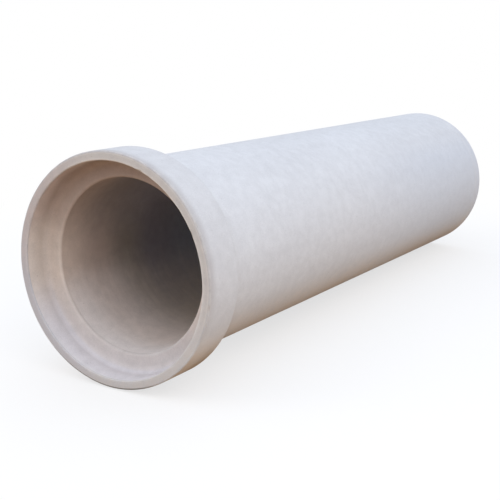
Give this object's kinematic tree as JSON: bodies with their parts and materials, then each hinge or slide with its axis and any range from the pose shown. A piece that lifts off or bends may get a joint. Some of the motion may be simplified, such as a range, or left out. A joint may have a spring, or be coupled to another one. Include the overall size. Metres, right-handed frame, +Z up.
{
  "type": "concrete sewer pipe",
  "caption": "Straight precast concrete sewer pipe, lying on its side, with a plain spigot at one end and a bell with an open socket at the other, for buried drains.",
  "frame": {"origin": "on the floor under the middle of the lying pipe's box", "axes": "+X along the pipe from the mouth of its bell to its spigot, +Z up; the axis dips about 1.1 degrees towards the spigot, because the pipe rests on its bell's rear edge and its spigot's end"},
  "size_m": [2.609, 0.7958, 0.7987],
  "materials": {
    "concrete": "matte cast concrete, pale grey outside and browner inside"
  },
  "bodies": {
    "root": {"concrete_pipe": "concrete"}
  },
  "joints": []
}
